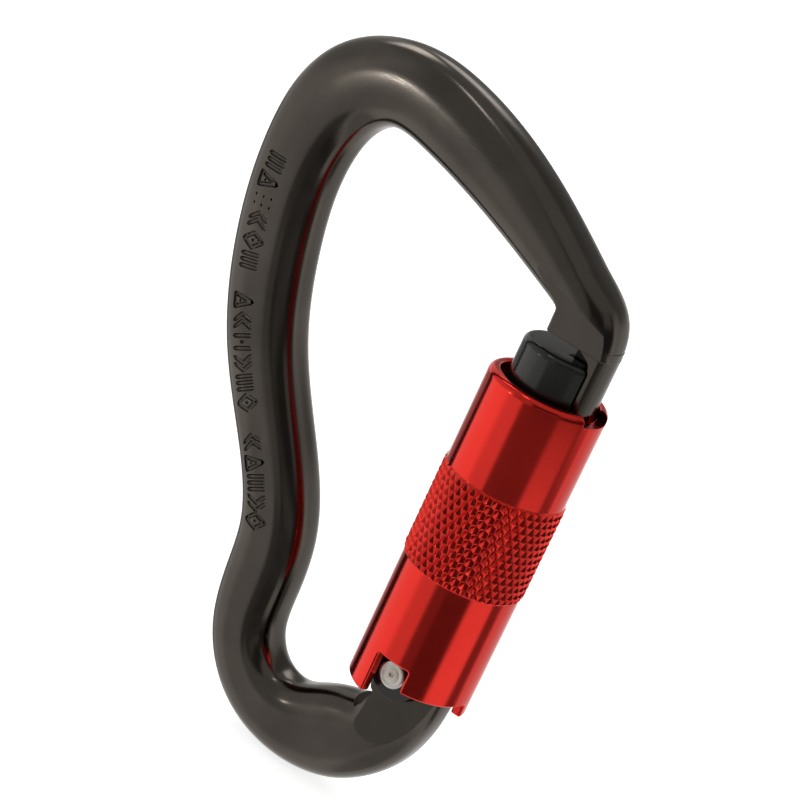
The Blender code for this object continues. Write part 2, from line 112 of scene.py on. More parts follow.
# Hook under the nose: an outer wall, a web and a wider foot.
HOOK_R, HOOK_HALF, HOOK_CORNER = 7.12, 3.1, 0.75
HOOK_WALL_IN, HOOK_WALL_Z, HOOK_TOP = 5.1, 45.9, 55.6
HOOK_BACK, HOOK_WEB_OUT, HOOK_WEB_TOP = 1.8, 6.0, 55.4
WEB_HALF, FOOT_HALF, FOOT_Z, FOOT_TOP = 1.3, 2.9, 47.0, 49.3


# ---------------------------------------------------------------- camera and studio
def set_camera():
    """The photograph's view: a fitted pinhole camera about 0.34 m away."""
    data = bpy.data.cameras.new("camera")
    data.lens = 104.725
    data.sensor_width = 36.0
    data.clip_start, data.clip_end = 0.01, 20.0
    made = bpy.data.objects.new("camera", data)
    right = Vector((0.750170, 0.532629, 0.391858))
    up = Vector((-0.502099, 0.073209, 0.861706))
    back = Vector((0.430282, -0.843177, 0.322351))
    turn = Matrix((right, up, back)).transposed().to_4x4()
    made.matrix_world = Matrix.Translation((0.147199, -0.281125, 0.112839)) @ turn
    bpy.context.scene.collection.objects.link(made)
    bpy.context.scene.camera = made


# ---------------------------------------------------------------- meshes
def mesh_object(name, points, faces):
    """A mesh about the hinge axis, from points in mm."""
    data = bpy.data.meshes.new(name)
    data.from_pydata((np.asarray(points, float) * MM).tolist(), [], faces)
    shape = bmesh.new()
    shape.from_mesh(data)
    bmesh.ops.recalc_face_normals(shape, faces=shape.faces)
    if shape.calc_volume(signed=True) < 0:
        bmesh.ops.reverse_faces(shape, faces=shape.faces)
    shape.to_mesh(data)
    shape.free()
    made = bpy.data.objects.new(name, data)
    bpy.context.scene.collection.objects.link(made)
    return made


def ring_faces(rings, points, closed):
    """Quads between rings of points, and a cap at each end unless the rings close on themselves."""
    faces = []
    for i in range(rings if closed else rings - 1):
        a, b = i * points, (i + 1) % rings * points
        for k in range(points):
            j = (k + 1) % points
            faces.append((a + k, a + j, b + j, b + k))
    if not closed:
        faces.append(tuple(range(points)))
        faces.append(tuple(range((rings - 1) * points, rings * points)))
    return faces


MERGE_M, SLIVER_M = 1e-6, 1e-7


def weld(target):
    shape = bmesh.new()
    shape.from_mesh(target.data)
    bmesh.ops.remove_doubles(shape, verts=shape.verts, dist=MERGE_M)
    bmesh.ops.dissolve_degenerate(shape, edges=shape.edges, dist=SLIVER_M)
    bmesh.ops.recalc_face_normals(shape, faces=shape.faces)
    shape.to_mesh(target.data)
    shape.free()


def lathe(name, outline, segments=160):
    """A body turned about Z from a closed outline of (radius, z)."""
    turn = 2 * np.pi * np.arange(segments) / segments
    r, z = np.array(outline, float).T
    heights = np.tile(z, (segments, 1))
    points = np.stack([np.outer(np.cos(turn), r), np.outer(np.sin(turn), r), heights], -1)
    made = mesh_object(name, points.reshape(-1, 3), ring_faces(segments, len(outline), True))
    weld(made)
    return made


def prism(name, outline, low, high, axis="Y"):
    """An outline pulled along an axis: (x, z) along Y, or (x, y) along Z."""
    spots = []
    for level in (low, high):
        for a, b in outline:
            spots.append((a, level, b) if axis == "Y" else (a, b, level))
    return mesh_object(name, spots, ring_faces(2, len(outline), False))


def block(name, low, high):
    outline = [(low[0], low[2]), (high[0], low[2]), (high[0], high[2]), (low[0], high[2])]
    return prism(name, outline, low[1], high[1])


def rod(name, radius, start, end, axis="Z", segments=64):
    """A solid cylinder along Y or Z through the hinge point."""
    turn = 2 * np.pi * np.arange(segments) / segments
    circle = [(radius * math.cos(t), radius * math.sin(t)) for t in turn]
    return prism(name, circle, start, end, axis)


def combine(target, tool, operation="DIFFERENCE"):
    """Cuts, joins or intersects, and removes the tool."""
    step = target.modifiers.new("step", "BOOLEAN")
    step.operation = operation
    step.solver = "MANIFOLD"
    step.object = tool
    bpy.context.view_layer.update()
    graph = bpy.context.evaluated_depsgraph_get()
    result = bpy.data.meshes.new_from_object(target.evaluated_get(graph))
    target.modifiers.remove(step)
    old = target.data
    target.data = result
    bpy.data.meshes.remove(old)
    bpy.data.objects.remove(tool)
    return target


def arc(cx, cz, r, from_deg, to_deg, steps):
    return [
        (cx + r * math.cos(math.radians(a)), cz + r * math.sin(math.radians(a)))
        for a in np.linspace(from_deg, to_deg, steps)
    ]


def chord_lengths(knots):
    """Distance of each knot from the first, knot to knot, by the first two columns."""
    return np.r_[0, np.cumsum(np.hypot(*np.diff(np.array(knots)[:, :2], axis=0).T))]


def natural_spline(knots, at):
    """Values and slopes of the natural cubic spline through rows of knots, at lengths along the chords."""
    knots = np.array(knots, float)
    reach = chord_lengths(knots)
    count = len(knots)
    gap = np.diff(reach)
    system = np.eye(count)
    right = np.zeros_like(knots)
    for i in range(1, count - 1):
        system[i, i - 1 : i + 2] = gap[i - 1], 2 * (gap[i - 1] + gap[i]), gap[i]
        right[i] = 6 * ((knots[i + 1] - knots[i]) / gap[i] - (knots[i] - knots[i - 1]) / gap[i - 1])
    bend = np.linalg.solve(system, right)
    values, ways = [], []
    for s in at:
        i = min(int(np.searchsorted(reach, s, side="right")) - 1, count - 2)
        h = gap[i]
        a, b = (reach[i + 1] - s) / h, (s - reach[i]) / h
        value = a * knots[i] + b * knots[i + 1]
        values.append(value + ((a**3 - a) * bend[i] + (b**3 - b) * bend[i + 1]) * h * h / 6)
        way = (knots[i + 1] - knots[i]) / h
        ways.append(way - (3 * a * a - 1) / 6 * h * bend[i] + (3 * b * b - 1) / 6 * h * bend[i + 1])
    return np.array(values), np.array(ways)


# ---------------------------------------------------------------- frame
def section_shape():
    """A rounded square of half sides 1 and HALF_THICK, as evenly spaced (across, y)."""
    turn = np.linspace(0, 2 * np.pi, 30 * SECTION_POINTS + 1)
    across = np.sign(np.cos(turn)) * np.abs(np.cos(turn)) ** (2 / SECTION_POWER)
    y = np.sign(np.sin(turn)) * np.abs(np.sin(turn)) ** (2 / SECTION_POWER)
    length = np.r_[0, np.cumsum(np.hypot(np.diff(across) * MEAN_HALF_WIDTH, np.diff(y) * HALF_THICK))]
    even = np.arange(SECTION_POINTS) / SECTION_POINTS * length[-1]
    return np.interp(even, length, across), np.interp(even, length, y) * HALF_THICK


def spine_rings():
    """Inner and outer corners (x, z, x, z) of the bar's sections, hinge to nose."""
    total = chord_lengths(CENTRE_LINE)[-1]
    at, way = natural_spline(CENTRE_LINE, np.arange(0, total, STATION_STEP))
    along = way[:, :2] / np.hypot(way[:, 0], way[:, 1])[:, None]
    side = np.stack([along[:, 1], -along[:, 0]], 1) * at[:, 2:3]
    corners = np.hstack([at[:, :2] + side, at[:, :2] - side])
    # the fan follows on smoothly: a spline through four of the last sections and the fan's own
    tail = np.vstack([corners[-12:-2:3], NOSE_FAN])[:, [2, 3, 0, 1]]
    lengths = chord_lengths(tail)
    fan, _ = natural_spline(tail, np.linspace(lengths[3], lengths[-1], FAN_STATIONS)[1:])
    return np.vstack([corners[:-2], fan[:, [2, 3, 0, 1]]])


def flat_cutter(spec, side):
    """A block whose inner face is the sloping flat at one end of the frame, with its end step."""
    x, z, way_x, way_z, half, rise, rise_across, run = spec
    points = []
    back = -FLAT_BACK
    for over in FLAT_ACROSS:
        for along, level, out in ((back, back, 0), (run, run, 0), (run + 3, run, 6), (back, back, 8)):
            y = half + rise * level + rise_across * over + out
            points.append((x + way_x * along - way_z * over, side * y, z + way_z * along + way_x * over))
    return mesh_object("flat", points, ring_faces(2, 4, False))


def build_frame():
    across, y = section_shape()
    rings = spine_rings()
    middle = (rings[:, :2] + rings[:, 2:]) / 2
    reach = rings[:, :2] - middle
    points = np.empty((len(rings), SECTION_POINTS, 3))
    points[:, :, 0] = middle[:, :1] + reach[:, :1] * across
    points[:, :, 1] = y
    points[:, :, 2] = middle[:, 1:] + reach[:, 1:] * across
    made = mesh_object("forged_frame", points.reshape(-1, 3), ring_faces(len(rings), SECTION_POINTS, False))
    combine(made, block("above", (-16, -CLEAR_Y, SHOULDER_Z), (16, CLEAR_Y, SEAT_TOP)))
    seat = lathe("seat", [(SEAT_R, SEAT_Z), (20, SEAT_Z), (20, SEAT_TOP), (SEAT_R, SEAT_TOP)], 192)
    combine(seat, block("keep", (-13, -12, -6), (14, 12, 14)), "INTERSECT")
    combine(made, seat)
    swing = arc(0, 0, SWEEP_R, SWEEP_FROM_DEG, SWEEP_TO_DEG, 48)
    swing += arc(0, 0, SWEEP_CORE_R, SWEEP_TO_DEG, SWEEP_GATE_DEG, 24) + [(0.0, 0.0)]
    combine(made, prism("sleeve_path", swing, -CLEAR_Y, CLEAR_Y))
    for low in (-CLEAR_Y, EAR_POCKET_AT):
        combine(made, rod("pocket", EAR_POCKET_R, low, low + EAR_POCKET_DEEP, "Y", 96))
    combine(made, build_tab(), "UNION")
    combine(made, rod("hole", RIVET_HOLE_R, -CLEAR_Y, CLEAR_Y, "Y"))
    for side in (-1, 1):
        combine(made, flat_cutter(HINGE_FLAT, side))
        combine(made, flat_cutter(NOSE_FLAT, side))
    combine(made, build_hook(), "UNION")
    return made


def build_tab():
    """The tongue between the gate's ears, with the flat that the plunger bears on."""
    low = TAB_CAM_Z - TAB_CHAMFER
    wide = TAB_CAM_X - TAB_CHAMFER
    outline = [(TAB_CAM_X, low), (wide, TAB_CAM_Z), (-wide, TAB_CAM_Z), (-TAB_CAM_X, low)]
    outline += arc(0, 0, TAB_ROUND_R, 172, 216, 14) + TAB_ROOT + arc(0, 0, TAB_ROUND_R, -24, 8, 10)
    return prism("tab", outline, -TAB_HALF, TAB_HALF)


def build_hook():
    """The hook under the nose: an outer wall with rounded corners, a web and a wider foot."""
    inner_r, inner_half = HOOK_R - HOOK_CORNER, HOOK_HALF - HOOK_CORNER
    flank = math.degrees(math.asin(inner_half / inner_r))
    corner_x = inner_r * math.cos(math.radians(flank))
    front = arc(corner_x, inner_half, HOOK_CORNER, flank, 90, 10)[1:]
    plan = arc(0, 0, HOOK_R, -flank, flank, 24) + front
    plan += [(2.4, HOOK_HALF), (2.4, -HOOK_HALF)]
    plan += [(x, -y) for x, y in reversed(front)]
    made = prism("hook", plan, HOOK_WALL_Z, HOOK_TOP, "Z")
    cut = [(1.0, 40.0), (HOOK_WALL_IN, 40.0), (HOOK_WALL_IN, 52.0)]
    cut += arc(3.7, 52.2, 1.4, 0, 72, 10) + [(2.9, 54.2), (2.5, 56.0), (1.0, 56.0)]
    combine(made, prism("inside", cut, -CLEAR_Y, CLEAR_Y))
    round_z = HOOK_WALL_Z + 0.4
    rim = [(4.4, 45.0), (8.0, 45.0), (8.0, 46.4), (HOOK_R, round_z)]
    rim += arc(HOOK_R - 0.4, round_z, 0.4, 0, -90, 8)
    rim += [(5.5, HOOK_WALL_Z), (HOOK_WALL_IN, round_z), (4.4, round_z)]
    combine(made, prism("rim", rim, -CLEAR_Y, CLEAR_Y))
    web = block("web", (HOOK_BACK, -WEB_HALF, FOOT_Z), (HOOK_WEB_OUT, WEB_HALF, HOOK_WEB_TOP))
    combine(made, web, "UNION")
    foot = block("foot", (HOOK_BACK, -FOOT_HALF, FOOT_Z), (HOOK_WEB_OUT, FOOT_HALF, FOOT_TOP))
    combine(made, foot, "UNION")
    return made


# ---------------------------------------------------------------- engraved marks on the spine
MARK_FROM, MARK_PITCH = 61.0, 2.95
MARK_OUT, MARK_HALF, MARK_LONG = -1.15, 1.8, 1.1
MARK_WIDE, MARK_DEEP = 0.37, 0.36
# Plain ornament only, each a set of strokes in a unit box (along the bar, across it).
DIAMOND = ((0, -1), (1, 0), (0, 1), (-1, 0), (0, -1))
DOT = ((0, -0.12), (0, 0.12))
CHEVRON = ((-0.95, -1), (0.1, 0), (-0.95, 1))
MARKS = {
    "gem": (DIAMOND, DOT),
    "bars": (((-0.85, -1), (-0.85, 1)), ((0, -1), (0, 1)), ((0.85, -1), (0.85, 1))),
    "double": (CHEVRON, tuple((u + 0.95, w) for u, w in CHEVRON)),
    "back": (tuple((-u, w) for u, w in CHEVRON), tuple((-u - 0.95, w) for u, w in CHEVRON)),
    "tent": (((-0.9, -0.95), (0.9, -0.95), (0.0, 0.9), (-0.9, -0.95)), ((0, -0.45), (0, -0.25))),
    "dots": tuple(((u, w - 0.08), (u, w + 0.08)) for u in (-0.6, 0.6) for w in (-0.8, 0, 0.8)),
    "gate": (((-0.85, -1), (-0.85, 1)), ((0.85, -1), (0.85, 1)), ((-0.02, -0.2), (0.02, 0.2))),
    "gap": (),
}
MARK_ROW = "gem back bars tent double gap gem bars back gate double tent gap bars gem double dots tent bars"


def stroke(points, closed):
    """A rounded groove cutter along a path on the front face, as rings."""
    sides = 10
    rings = []
    count = len(points)
    for i, spot in enumerate(points):
        before = points[i - 1] if i or closed else spot
        after = points[(i + 1) % count] if i < count - 1 or closed else spot
        way = (after - before).normalized()
        across = way.cross(Vector((0, -1, 0))).normalized()
        shrink = 1.0 if closed else max(0.15, min(1.0, 0.35 + 0.4 * min(i, count - 1 - i)))
        for k in range(sides):
            a = 2 * math.pi * k / sides
            rings.append(spot + across * MARK_WIDE * shrink * math.cos(a)
                         + Vector((0, -MARK_DEEP * shrink * math.sin(a), 0)))
    return rings, ring_faces(count, sides, closed)


def engrave(target):
    row = MARK_ROW.split()
    places = MARK_FROM + MARK_PITCH * np.arange(len(row))
    at, way = natural_spline(CENTRE_LINE, places)
    points, faces = [], []
    for i in range(len(places)):
        along = Vector((way[i, 0], 0, way[i, 1])).normalized()
        inward = Vector((along.z, 0, -along.x))
        centre = Vector((at[i, 0], 0, at[i, 1])) + inward * MARK_OUT
        for line in MARKS[row[i]]:
            closed = line[0] == line[-1]
            path = []
            for (u0, w0), (u1, w1) in zip(line, line[1:]):
                steps = max(2, int(math.hypot((u1 - u0) * MARK_LONG, (w1 - w0) * MARK_HALF) / 0.22))
                for k in range(steps):
                    path.append((u0 + (u1 - u0) * k / steps, w0 + (w1 - w0) * k / steps))
            if not closed:
                path.append(line[-1])
            spots = []
            for u, w in path:
                over = (MARK_OUT + w * MARK_HALF) / at[i, 2]
                y = HALF_THICK * (1 - abs(over) ** SECTION_POWER) ** (1 / SECTION_POWER)
                spot = centre + along * u * MARK_LONG + inward * w * MARK_HALF
                spots.append(Vector((spot.x, -y, spot.z)))
            rings, sides = stroke(spots, closed)
            faces += [tuple(v + len(points) for v in face) for face in sides]
            points += rings
    tool = mesh_object("marks", points, faces)
    combine(target, tool)


# ---------------------------------------------------------------- sleeve
SLEEVE_R, SLEEVE_BORE, SLEEVE_TOP = 9.0, 7.5, 46.65
CASTLE = (
    (71, -0.9), (71, 2.6), (107, 2.6), (107, -4.1), (176, -4.1), (176, -0.9),
    (251, -0.9), (251, 2.6), (287, 2.6), (287, -3.1), (356, -3.1), (356, -0.9),
)
CASTLE_CORNER, CASTLE_EDGE = 0.35, 0.3
KNURL_FROM, KNURL_TO, KNURL_R = 16.5, 31.6, 9.3
KNURL_STARTS, KNURL_DEG = 42, 30.0
KNURL_FLOOR, KNURL_OPEN = 8.9, 1.2
RIM_ROUND, RIM_INNER_ROUND = 1.1, 0.35
STEP_FROM, STEP_TO, STEP_R = 40.6, 42.2, 6.75
GROOVE_FROM, GROOVE_TO, GROOVE_R = 32.3, 33.9, 8.05
RELEASE_HALF, RELEASE_FLOOR = 3.4, 45.2


def castle_line():
    """The lower edge once round, as (arc length at the outer radius, z), with small corner rounds."""
    corners = [(math.radians(a) * SLEEVE_R, z) for a, z in CASTLE]
    period = 2 * math.pi * SLEEVE_R
    count = len(corners)
    line = []
    for i, corner in enumerate(corners):
        spot = Vector(corner)
        before = Vector(corners[i - 1]) - (Vector((period, 0)) if i == 0 else Vector((0, 0)))
        after = Vector(corners[(i + 1) % count])
        after += Vector((period, 0)) if i == count - 1 else Vector((0, 0))
        back, on = (before - spot).normalized(), (after - spot).normalized()
        start, end = spot + back * CASTLE_CORNER, spot + on * CASTLE_CORNER
        centre = spot + (back + on) * CASTLE_CORNER
        for k in range(5):
            a = math.radians(90 * k / 4)
            line.append(centre - on * CASTLE_CORNER * math.cos(a) - back * CASTLE_CORNER * math.sin(a))
        gap = (after - spot).length - 2 * CASTLE_CORNER
        steps = max(1, int(gap / 0.45))
        line += [end + on * gap * k / steps for k in range(1, steps)]
    return line, period


def castle_cutter():
    line, period = castle_line()
    count = len(line)
    layers = [(6.8, 0.32), (7.35, 0.30), (7.65, 0.0)]
    for deg in (0, 22.5, 45, 67.5):
        a = math.radians(deg)
        layers.append((SLEEVE_R - CASTLE_EDGE * (1 - math.sin(a)), CASTLE_EDGE * (1 - math.cos(a))))
    layers += [(9.03, 0.29), (9.5, 0.30)]
    points = []
    for i, spot in enumerate(line):
        before = line[i - 1] - (Vector((period, 0)) if i == 0 else Vector((0, 0)))
        after = line[(i + 1) % count] + (Vector((period, 0)) if i == count - 1 else Vector((0, 0)))
        way = (after - before).normalized()
        out = Vector((-way.y, way.x))
        for r, offset in layers:
            s, z = spot + out * offset
            points.append((r * math.cos(s / SLEEVE_R), -r * math.sin(s / SLEEVE_R), z))
        low = (spot.x + 0.002 * i) / SLEEVE_R
        for r in (9.5, 6.8):
            points.append((r * math.cos(low), -r * math.sin(low), -8.0))
    return mesh_object("castle", points, ring_faces(count, len(layers) + 2, True))


def knurl_cutter(hand):
    """All the V grooves of one hand, side by side round the band."""
    levels = np.linspace(KNURL_FROM - 0.3, KNURL_TO + 0.3, 30)
    depth = KNURL_R - KNURL_FLOOR
    points, faces = [], []
    for start in range(KNURL_STARTS):
        first = len(points)
        for z in levels:
            turn = 2 * math.pi * start / KNURL_STARTS
            turn += hand * math.tan(math.radians(KNURL_DEG)) * z / SLEEVE_R
            near_end = min(z - levels[0], levels[-1] - z)
            floor = KNURL_FLOOR + 0.16 * max(0.0, 1 - near_end / 0.75)
            wide = KNURL_OPEN * depth / math.cos(math.radians(KNURL_DEG)) / KNURL_R
            top = KNURL_R + 0.08
            spread = wide * (top - floor) / depth
            for r, side in ((floor, 0.0), (top, spread), (top, -spread)):
                points.append((r * math.cos(turn + side), r * math.sin(turn + side), z))
        faces += [tuple(v + first for v in face) for face in ring_faces(len(levels), 3, False)]
    return mesh_object("knurl", points, faces)


def build_sleeve():
    outline = [(SLEEVE_BORE, -6.0)]
    outline += [(SLEEVE_R, z) for z in (-6.0, 4.0, 10.0, KNURL_FROM)]
    outline += [(KNURL_R - 0.06, KNURL_FROM + 0.28), (KNURL_R, KNURL_FROM + 0.45)]
    outline += [(KNURL_R, KNURL_TO - 0.45), (KNURL_R - 0.06, KNURL_TO - 0.28)]
    outline += [(SLEEVE_R, z) for z in (KNURL_TO, 38.0, 43.0)]
    outline += arc(SLEEVE_R - RIM_ROUND, SLEEVE_TOP - RIM_ROUND, RIM_ROUND, 0, 90, 14)
    inner = RIM_INNER_ROUND
    outline += arc(SLEEVE_BORE + inner, SLEEVE_TOP - inner, inner, 90, 180, 7)
    for r, high, low in ((STEP_R, STEP_TO, STEP_FROM), (GROOVE_R, GROOVE_TO, GROOVE_FROM)):
        outline += [(SLEEVE_BORE, high), (r, high), (r, low), (SLEEVE_BORE, low)]
    made = lathe("sleeve_shell", outline, 168)
    combine(made, castle_cutter())
    for hand in (1, -1):
        combine(made, knurl_cutter(hand))
    combine(made, block("release", (4, -RELEASE_HALF, RELEASE_FLOOR), (11, RELEASE_HALF, 50)))
    return made


# ---------------------------------------------------------------- gate and hinge
SHANK_R, SHANK_TOP, NECK_R, NECK_TOP = 7.15, 12.0, 5.6, 41.3
GATE_R, GATE_TOP, GATE_ROUND = 6.35, 52.5, 1.0
EAR_R, EAR_INNER, EAR_OUTER, EAR_NECK_TOP, SLOT_TOP = 4.1, 2.8, 5.7, 1.8, 5.0
BORE_R, BORE_TOP = 2.9, 26.3
PIN_Z, PIN_HOLE_R = 37.1, 1.0
# Keyhole: (in, half width, floor) of its narrow, deep and outer parts, and how far its edge is broken.
KEY = (1.45, 1.65, 46.6)
KEY_FOOT = (1.45, 3.25, 46.5)
KEY_WALL = (4.75, 3.45, 45.4)
KEY_FOOT_TOP, KEY_OUT, KEY_EDGE = 49.65, 6.0, 0.35
RIVET_R, RIVET_HEAD_R, RIVET_HEAD_ROUND = 1.5, 2.14, 0.4
RIVET_HEAD_FROM, RIVET_HEAD_TO = 6.0, 7.05


def frustum(name, low_box, low_z, high_box, high_z):
    """A solid between two rectangles (x from, y from, x to, y to) at two heights."""
    points = []
    for (x0, y0, x1, y1), z in ((low_box, low_z), (high_box, high_z)):
        points += [(x0, y0, z), (x1, y0, z), (x1, y1, z), (x0, y1, z)]
    return mesh_object(name, points, ring_faces(2, 4, False))


def build_gate():
    outline = [(0, -5), (SHANK_R, -5), (SHANK_R, 3.0)] + arc(SHANK_R - 0.5, SHANK_TOP - 0.5, 0.5, 0, 90, 8)
    outline += [(NECK_R + 0.3, SHANK_TOP), (NECK_R, SHANK_TOP + 0.3)]
    outline += [(NECK_R, 26.0), (NECK_R, NECK_TOP - 0.3), (NECK_R + 0.3, NECK_TOP)]
    outline += [(GATE_R - 0.2, NECK_TOP), (GATE_R, NECK_TOP + 0.2), (GATE_R, 46.0)]
    outline += arc(GATE_R - GATE_ROUND, GATE_TOP - GATE_ROUND, GATE_ROUND, 0, 90, 12)
    outline += [(3.0, GATE_TOP), (0, GATE_TOP)]
    made = lathe("gate_tube", outline, 168)
    for y in (EAR_OUTER, -EAR_OUTER - 5):
        combine(made, block("flat", (-10, y, -6), (10, y + 5, 9.0)))
    combine(made, block("slot", (-10, -EAR_INNER, -6), (10, EAR_INNER, SLOT_TOP)))
    below = [(-9, EAR_NECK_TOP), (-EAR_R, EAR_NECK_TOP)] + arc(0, 0, EAR_R, 180, 360, 64)
    below += [(EAR_R, EAR_NECK_TOP), (9, EAR_NECK_TOP), (9, -7), (-9, -7)]
    combine(made, prism("round_end", below, -CLEAR_Y, CLEAR_Y))
    combine(made, rod("hole", RIVET_HOLE_R, -CLEAR_Y, CLEAR_Y, "Y"))
    combine(made, rod("bore", BORE_R, -6, BORE_TOP))
    parts = ((KEY, KEY_OUT, 56), (KEY_FOOT, KEY_OUT, KEY_FOOT_TOP), (KEY_WALL, 9, 56))
    for (start, half, low), out, top in parts:
        combine(made, block("key", (start, -half, low), (out, half, top)))
    for (start, half, _), out in ((KEY, KEY_OUT), (KEY_WALL, 9)):
        narrow = (start, -half, out, half)
        wide = (start - 2 * KEY_EDGE, -half - 2 * KEY_EDGE, out, half + 2 * KEY_EDGE)
        combine(made, frustum("key_edge", narrow, GATE_TOP - KEY_EDGE, wide, GATE_TOP + KEY_EDGE))
    combine(made, to_pin_place(rod("pin_hole", PIN_HOLE_R, 2.0, 8, "Z", 40)))
    return made


def to_pin_place(made):
    """Lays a body drawn along Z on the guide pin's axis, pointing to the back."""
    made.data.transform(Matrix.Translation((0, 0, PIN_Z * MM)) @ Matrix.Rotation(-math.pi / 2, 4, "X"))
    return made


def build_rivet():
    """A rivet with rounded heads, each with a turned ring and a centre mark."""
    face, soft = -RIVET_HEAD_TO, RIVET_HEAD_ROUND
    centre_mark = ((0.0, 0.27), (0.16, 0.25), (0.34, 0.07), (0.44, 0.02))
    ring = ((1.2, 0.0), (1.28, 0.03), (1.36, 0.03), (1.44, 0.0))
    half = [(r, face + deep) for r, deep in centre_mark + ring]
    half += [(RIVET_HEAD_R - soft + soft * math.sin(a), face + soft - soft * math.cos(a))
             for a in np.linspace(0, math.pi / 2, 9)]
    half += [(RIVET_HEAD_R, -RIVET_HEAD_FROM - 0.1), (RIVET_HEAD_R - 0.1, -RIVET_HEAD_FROM)]
    half += [(RIVET_R, -RIVET_HEAD_FROM)]
    made = lathe("rivet_pin", half + [(r, -y) for r, y in reversed(half)], 72)
    made.data.transform(Matrix.Rotation(math.pi / 2, 4, "X"))
    return made


# ---------------------------------------------------------------- what the gate and sleeve hold
COIL_R, COIL_WIRE, COIL_FROM, COIL_TO, COIL_TURNS = 2.05, 0.28, 6.2, 25.9, 9
TWIST_R, TWIST_WIRE, TWIST_FROM, TWIST_TO, TWIST_TURNS = 6.5, 0.38, 12.8, 31.4, 8
PLUNGER_R, STEM_R, PLUNGER_FROM, PLUNGER_HEAD_TO, PLUNGER_TO = 2.5, 1.2, 2.95, 5.6, 11.5
SNAP_R, SNAP_WIRE, SNAP_OPEN_DEG = 7.4, 0.36, 40
BUSH_IN, BUSH_OUT, BUSH_FROM, BUSH_TO = 5.92, 7.18, 34.3, 40.25
WINDOW_DEG, WINDOW_Z = (-191, -79), (36.0, 38.2)
SPLIT_DEG = (38, 52)
PIN_R, PIN_IN, PIN_OUT, BREAK = 0.7, 2.4, 6.9, 0.15


def coil(name, radius, wire, start, end, turns, per_turn=56, sides=14, flat_turns=0.9):
    """A helix with closed end turns and rounded wire ends."""
    count = int((turns + 2 * flat_turns) * per_turn)
    points = []
    for i in range(count + 1):
        share = i / per_turn
        turn = 2 * math.pi * share
        low = start + wire + 2.3 * wire * min(share, flat_turns) / flat_turns
        rise = (end - start - 6.6 * wire) * min(max(share - flat_turns, 0), turns) / turns
        z = low + rise + 2.3 * wire * max(share - flat_turns - turns, 0) / flat_turns
        thick = wire * (0.6, 0.85, 1.0)[min(i, count - i, 2)]
        for k in range(sides):
            a = 2 * math.pi * k / sides
            r = radius + thick * math.cos(a)
            points.append((r * math.cos(turn), r * math.sin(turn), z + thick * math.sin(a)))
    return mesh_object(name, points, ring_faces(count + 1, sides, False))


def build_snap_ring():
    sides, count = 16, 120
    middle = (GROOVE_FROM + GROOVE_TO) / 2
    points = []
    for i in range(count + 1):
        turn = math.radians(SNAP_OPEN_DEG / 2 + (360 - SNAP_OPEN_DEG) * i / count)
        thick = SNAP_WIRE * (0.55, 0.85, 1.0)[min(i, count - i, 2)]
        for k in range(sides):
            a = 2 * math.pi * k / sides
            r = SNAP_R + thick * math.cos(a)
            points.append((r * math.cos(turn), r * math.sin(turn), middle + thick * math.sin(a)))
    return mesh_object("ring_snap", points, ring_faces(count + 1, sides, False))


def wedge(name, from_deg, to_deg, low, high):
    """A ring sector for cutting the bush, with angles from +X towards the front."""
    turns = np.radians(np.linspace(from_deg, to_deg, 40))
    outline = [(9 * math.cos(t), -9 * math.sin(t)) for t in turns]
    outline += [(5 * math.cos(t), -5 * math.sin(t)) for t in reversed(turns)]
    return prism(name, outline, low, high, "Z")


def build_bush():
    inner, outer = BUSH_IN + BREAK, BUSH_OUT - BREAK
    low, high = BUSH_FROM + BREAK, BUSH_TO - BREAK
    outline = [(BUSH_IN, low), (inner, BUSH_FROM), (outer, BUSH_FROM), (BUSH_OUT, low)]
    outline += [(BUSH_OUT, high), (outer, BUSH_TO), (inner, BUSH_TO), (BUSH_IN, high)]
    made = lathe("bush_split", outline, 120)
    combine(made, wedge("window", *WINDOW_DEG, *WINDOW_Z))
    combine(made, wedge("split", *SPLIT_DEG, 33, 42))
    return made


def build_plunger():
    soft = 0.4
    outline = [(0, PLUNGER_FROM), (PLUNGER_R - soft, PLUNGER_FROM)]
    outline += arc(PLUNGER_R - soft, PLUNGER_FROM + soft, soft, -90, 0, 6)
    outline += [(PLUNGER_R, PLUNGER_HEAD_TO - 0.2), (PLUNGER_R - 0.2, PLUNGER_HEAD_TO)]
    outline += [(STEM_R + BREAK, PLUNGER_HEAD_TO), (STEM_R, PLUNGER_HEAD_TO + BREAK)]
    outline += [(STEM_R, PLUNGER_TO - 0.3), (STEM_R - 0.3, PLUNGER_TO), (0, PLUNGER_TO)]
    return lathe("plunger_pin", outline, 64)


def build_pin():
    narrow = PIN_R - BREAK
    outline = [(0, PIN_IN), (narrow, PIN_IN), (PIN_R, PIN_IN + BREAK)]
    outline += [(PIN_R, PIN_OUT - BREAK), (narrow, PIN_OUT), (0, PIN_OUT)]
    return to_pin_place(lathe("pin_guide", outline, 40))


# ---------------------------------------------------------------- finish of the meshes
def smooth(made, sharp_deg=24.0):
    """Smooth shading with sharp edges over an angle, and normals that follow the larger faces."""
    shape = bmesh.new()
    shape.from_mesh(made.data)
    bmesh.ops.dissolve_degenerate(shape, edges=shape.edges, dist=2e-6)
    for face in shape.faces:
        face.smooth = True
    limit = math.radians(sharp_deg)
    for edge in shape.edges:
        edge.smooth = len(edge.link_faces) == 2 and edge.calc_face_angle(0) < limit
    shape.to_mesh(made.data)
    shape.free()
    weigh = made.modifiers.new("normals", "WEIGHTED_NORMAL")
    weigh.keep_sharp = True


